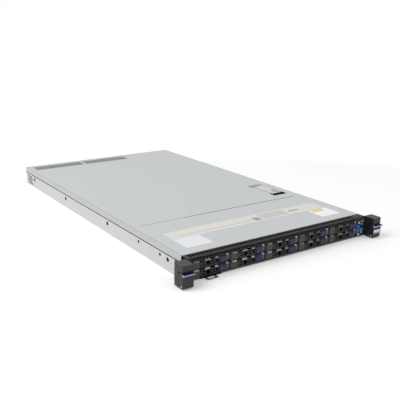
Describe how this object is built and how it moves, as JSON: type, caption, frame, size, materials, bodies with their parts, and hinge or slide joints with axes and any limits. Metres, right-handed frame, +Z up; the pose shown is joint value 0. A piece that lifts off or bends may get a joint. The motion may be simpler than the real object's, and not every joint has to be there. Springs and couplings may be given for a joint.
{
  "type": "1u rack server",
  "caption": "Low rack-mounting computer with latched drive trays, flip-down ear latches, front ports, a sliding lid with a lift latch, fans and plug-in power supplies.",
  "frame": {"origin": "on the underside, midway between the side walls, in the plane of the drive tray faces", "axes": "+X right seen from the front, +Y from the front to the rear, +Z up"},
  "size_m": [0.482, 0.8386, 0.043],
  "materials": {
    "tub_steel": "galvanised, satin",
    "cage_steel": "galvanised, satin",
    "cover_steel": "galvanised, satin",
    "black_paint": "black powder coat",
    "latch_grey": "light grey, matt",
    "ear_plastic": "charcoal, fine grain",
    "flap_plastic": "charcoal, fine grain",
    "tag_black": "black, matt",
    "port_metal": "nickel plated",
    "power_cap": "translucent grey",
    "board_green": "solder mask",
    "sink_aluminium": "bare",
    "fan_black": "black, matt",
    "slot_steel": "nickel plated",
    "tray_plastic": "grey, matt",
    "lever_plastic": "dark grey, matt",
    "button_blue": "slate blue, satin",
    "supply_steel": "galvanised, satin",
    "touch_blue": "slate blue, satin"
  },
  "bodies": {
    "chassis": {"chassis_tub": "tub_steel", "drive_cage": "cage_steel", "front_grille": "black_paint", "front_cover": "cover_steel", "left_ear": "ear_plastic", "right_ear": "ear_plastic", "front_ports": "port_metal", "drive_backplane": "board_green", "mainboard": "board_green", "heat_sinks": "sink_aluminium", "memory_modules": "board_green", "fan_frames": "fan_black", "rear_ports": "port_metal", "expansion_slots": "slot_steel"},
    "tray_1": {"drive_tray_1": "tray_plastic"},
    "lever_1": {"tray_lever_1": "lever_plastic"},
    "button_1": {"tray_button_1": "button_blue"},
    "tray_2": {"drive_tray_2": "tray_plastic"},
    "lever_2": {"tray_lever_2": "lever_plastic"},
    "button_2": {"tray_button_2": "button_blue"},
    "tray_3": {"drive_tray_3": "tray_plastic"},
    "lever_3": {"tray_lever_3": "lever_plastic"},
    "button_3": {"tray_button_3": "button_blue"},
    "tray_4": {"drive_tray_4": "tray_plastic"},
    "lever_4": {"tray_lever_4": "lever_plastic"},
    "button_4": {"tray_button_4": "button_blue"},
    "tray_5": {"drive_tray_5": "tray_plastic"},
    "lever_5": {"tray_lever_5": "lever_plastic"},
    "button_5": {"tray_button_5": "button_blue"},
    "tray_6": {"drive_tray_6": "tray_plastic"},
    "lever_6": {"tray_lever_6": "lever_plastic"},
    "button_6": {"tray_button_6": "button_blue"},
    "tray_7": {"drive_tray_7": "tray_plastic"},
    "lever_7": {"tray_lever_7": "lever_plastic"},
    "button_7": {"tray_button_7": "button_blue"},
    "tray_8": {"drive_tray_8": "tray_plastic"},
    "lever_8": {"tray_lever_8": "lever_plastic"},
    "button_8": {"tray_button_8": "button_blue"},
    "tray_9": {"drive_tray_9": "tray_plastic"},
    "lever_9": {"tray_lever_9": "lever_plastic"},
    "button_9": {"tray_button_9": "button_blue"},
    "tray_10": {"drive_tray_10": "tray_plastic"},
    "lever_10": {"tray_lever_10": "lever_plastic"},
    "button_10": {"tray_button_10": "button_blue"},
    "left_flap": {"left_ear_latch": "flap_plastic"},
    "right_flap": {"right_ear_latch": "flap_plastic"},
    "tag": {"info_tag": "tag_black"},
    "power": {"power_button": "power_cap"},
    "cover": {"top_cover": "cover_steel"},
    "latch": {"cover_latch": "latch_grey"},
    "rotor_1": {"fan_rotor_1": "fan_black"},
    "rotor_2": {"fan_rotor_2": "fan_black"},
    "rotor_3": {"fan_rotor_3": "fan_black"},
    "rotor_4": {"fan_rotor_4": "fan_black"},
    "supply_1": {"power_supply_1": "supply_steel"},
    "release_1": {"supply_release_1": "touch_blue"},
    "supply_2": {"power_supply_2": "supply_steel"},
    "release_2": {"supply_release_2": "touch_blue"}
  },
  "joints": [
    {"name": "tray_1_slide", "type": "slide", "parent": "chassis", "child": "tray_1", "axis": [0, -1, 0], "range_m": [0, 0.12]},
    {"name": "lever_1_hinge", "type": "hinge", "parent": "tray_1", "child": "lever_1", "pos_m": [-0.1873, 0.0024, 0.0101], "axis": [0, 0, -1], "range_deg": [0, 60]},
    {"name": "button_1_press", "type": "slide", "parent": "tray_1", "child": "button_1", "axis": [0, 1, 0], "range_m": [0, 0.002], "stiffness_N_per_m": 400},
    {"name": "tray_2_slide", "type": "slide", "parent": "chassis", "child": "tray_2", "axis": [0, -1, 0], "range_m": [0, 0.12]},
    {"name": "lever_2_hinge", "type": "hinge", "parent": "tray_2", "child": "lever_2", "pos_m": [-0.106, 0.0024, 0.0101], "axis": [0, 0, -1], "range_deg": [0, 60]},
    {"name": "button_2_press", "type": "slide", "parent": "tray_2", "child": "button_2", "axis": [0, 1, 0], "range_m": [0, 0.002], "stiffness_N_per_m": 400},
    {"name": "tray_3_slide", "type": "slide", "parent": "chassis", "child": "tray_3", "axis": [0, -1, 0], "range_m": [0, 0.12]},
    {"name": "lever_3_hinge", "type": "hinge", "parent": "tray_3", "child": "lever_3", "pos_m": [-0.0247, 0.0024, 0.0101], "axis": [0, 0, -1], "range_deg": [0, 60]},
    {"name": "button_3_press", "type": "slide", "parent": "tray_3", "child": "button_3", "axis": [0, 1, 0], "range_m": [0, 0.002], "stiffness_N_per_m": 400},
    {"name": "tray_4_slide", "type": "slide", "parent": "chassis", "child": "tray_4", "axis": [0, -1, 0], "range_m": [0, 0.12]},
    {"name": "lever_4_hinge", "type": "hinge", "parent": "tray_4", "child": "lever_4", "pos_m": [0.0566, 0.0024, 0.0101], "axis": [0, 0, -1], "range_deg": [0, 60]},
    {"name": "button_4_press", "type": "slide", "parent": "tray_4", "child": "button_4", "axis": [0, 1, 0], "range_m": [0, 0.002], "stiffness_N_per_m": 400},
    {"name": "tray_5_slide", "type": "slide", "parent": "chassis", "child": "tray_5", "axis": [0, -1, 0], "range_m": [0, 0.12]},
    {"name": "lever_5_hinge", "type": "hinge", "parent": "tray_5", "child": "lever_5", "pos_m": [0.1379, 0.0024, 0.0101], "axis": [0, 0, -1], "range_deg": [0, 60]},
    {"name": "button_5_press", "type": "slide", "parent": "tray_5", "child": "button_5", "axis": [0, 1, 0], "range_m": [0, 0.002], "stiffness_N_per_m": 400},
    {"name": "tray_6_slide", "type": "slide", "parent": "chassis", "child": "tray_6", "axis": [0, -1, 0], "range_m": [0, 0.12]},
    {"name": "lever_6_hinge", "type": "hinge", "parent": "tray_6", "child": "lever_6", "pos_m": [-0.1873, 0.0024, 0.0269], "axis": [0, 0, -1], "range_deg": [0, 60]},
    {"name": "button_6_press", "type": "slide", "parent": "tray_6", "child": "button_6", "axis": [0, 1, 0], "range_m": [0, 0.002], "stiffness_N_per_m": 400},
    {"name": "tray_7_slide", "type": "slide", "parent": "chassis", "child": "tray_7", "axis": [0, -1, 0], "range_m": [0, 0.12]},
    {"name": "lever_7_hinge", "type": "hinge", "parent": "tray_7", "child": "lever_7", "pos_m": [-0.106, 0.0024, 0.0269], "axis": [0, 0, -1], "range_deg": [0, 60]},
    {"name": "button_7_press", "type": "slide", "parent": "tray_7", "child": "button_7", "axis": [0, 1, 0], "range_m": [0, 0.002], "stiffness_N_per_m": 400},
    {"name": "tray_8_slide", "type": "slide", "parent": "chassis", "child": "tray_8", "axis": [0, -1, 0], "range_m": [0, 0.12]},
    {"name": "lever_8_hinge", "type": "hinge", "parent": "tray_8", "child": "lever_8", "pos_m": [-0.0247, 0.0024, 0.0269], "axis": [0, 0, -1], "range_deg": [0, 60]},
    {"name": "button_8_press", "type": "slide", "parent": "tray_8", "child": "button_8", "axis": [0, 1, 0], "range_m": [0, 0.002], "stiffness_N_per_m": 400},
    {"name": "tray_9_slide", "type": "slide", "parent": "chassis", "child": "tray_9", "axis": [0, -1, 0], "range_m": [0, 0.12]},
    {"name": "lever_9_hinge", "type": "hinge", "parent": "tray_9", "child": "lever_9", "pos_m": [0.0566, 0.0024, 0.0269], "axis": [0, 0, -1], "range_deg": [0, 60]},
    {"name": "button_9_press", "type": "slide", "parent": "tray_9", "child": "button_9", "axis": [0, 1, 0], "range_m": [0, 0.002], "stiffness_N_per_m": 400},
    {"name": "tray_10_slide", "type": "slide", "parent": "chassis", "child": "tray_10", "axis": [0, -1, 0], "range_m": [0, 0.12]},
    {"name": "lever_10_hinge", "type": "hinge", "parent": "tray_10", "child": "lever_10", "pos_m": [0.1379, 0.0024, 0.0269], "axis": [0, 0, -1], "range_deg": [0, 60]},
    {"name": "button_10_press", "type": "slide", "parent": "tray_10", "child": "button_10", "axis": [0, 1, 0], "range_m": [0, 0.002], "stiffness_N_per_m": 400},
    {"name": "left_flap_hinge", "type": "hinge", "parent": "chassis", "child": "left_flap", "pos_m": [-0.23025, -0.0202, 0.0054], "axis": [1, 0, 0], "range_deg": [0, 70]},
    {"name": "right_flap_hinge", "type": "hinge", "parent": "chassis", "child": "right_flap", "pos_m": [0.23025, -0.0202, 0.0054], "axis": [1, 0, 0], "range_deg": [0, 70]},
    {"name": "tag_slide", "type": "slide", "parent": "chassis", "child": "tag", "axis": [0, -1, 0], "range_m": [0, 0.07]},
    {"name": "power_press", "type": "slide", "parent": "chassis", "child": "power", "axis": [0, 1, 0], "range_m": [0, 0.0008], "stiffness_N_per_m": 500},
    {"name": "cover_slide", "type": "slide", "parent": "chassis", "child": "cover", "axis": [0, 1, 0], "range_m": [0, 0.012]},
    {"name": "cover_latch_lift", "type": "hinge", "parent": "cover", "child": "latch", "pos_m": [0.1835, 0.299, 0.0392], "axis": [-1, 0, 0], "range_deg": [0, 85]},
    {"name": "rotor_1_spin", "type": "hinge", "parent": "chassis", "child": "rotor_1", "pos_m": [-0.153, 0.19, 0.0212], "axis": [0, 1, 0], "continuous": true},
    {"name": "rotor_2_spin", "type": "hinge", "parent": "chassis", "child": "rotor_2", "pos_m": [-0.051, 0.19, 0.0212], "axis": [0, 1, 0], "continuous": true},
    {"name": "rotor_3_spin", "type": "hinge", "parent": "chassis", "child": "rotor_3", "pos_m": [0.051, 0.19, 0.0212], "axis": [0, 1, 0], "continuous": true},
    {"name": "rotor_4_spin", "type": "hinge", "parent": "chassis", "child": "rotor_4", "pos_m": [0.153, 0.19, 0.0212], "axis": [0, 1, 0], "continuous": true},
    {"name": "supply_1_slide", "type": "slide", "parent": "chassis", "child": "supply_1", "axis": [0, 1, 0], "range_m": [0, 0.18]},
    {"name": "release_1_press", "type": "hinge", "parent": "supply_1", "child": "release_1", "pos_m": [0.1378, 0.7456, 0.021], "axis": [0, 0, 1], "range_deg": [0, 4.5], "stiffness_Nm_per_rad": 2},
    {"name": "supply_2_slide", "type": "slide", "parent": "chassis", "child": "supply_2", "axis": [0, 1, 0], "range_m": [0, 0.18]},
    {"name": "release_2_press", "type": "hinge", "parent": "supply_2", "child": "release_2", "pos_m": [0.2123, 0.7456, 0.021], "axis": [0, 0, 1], "range_deg": [0, 4.5], "stiffness_Nm_per_rad": 2}
  ],
  "couplings": [
    {"joint": "cover_latch_lift", "follows": "cover_slide", "rad_per_m": 123.6}
  ]
}
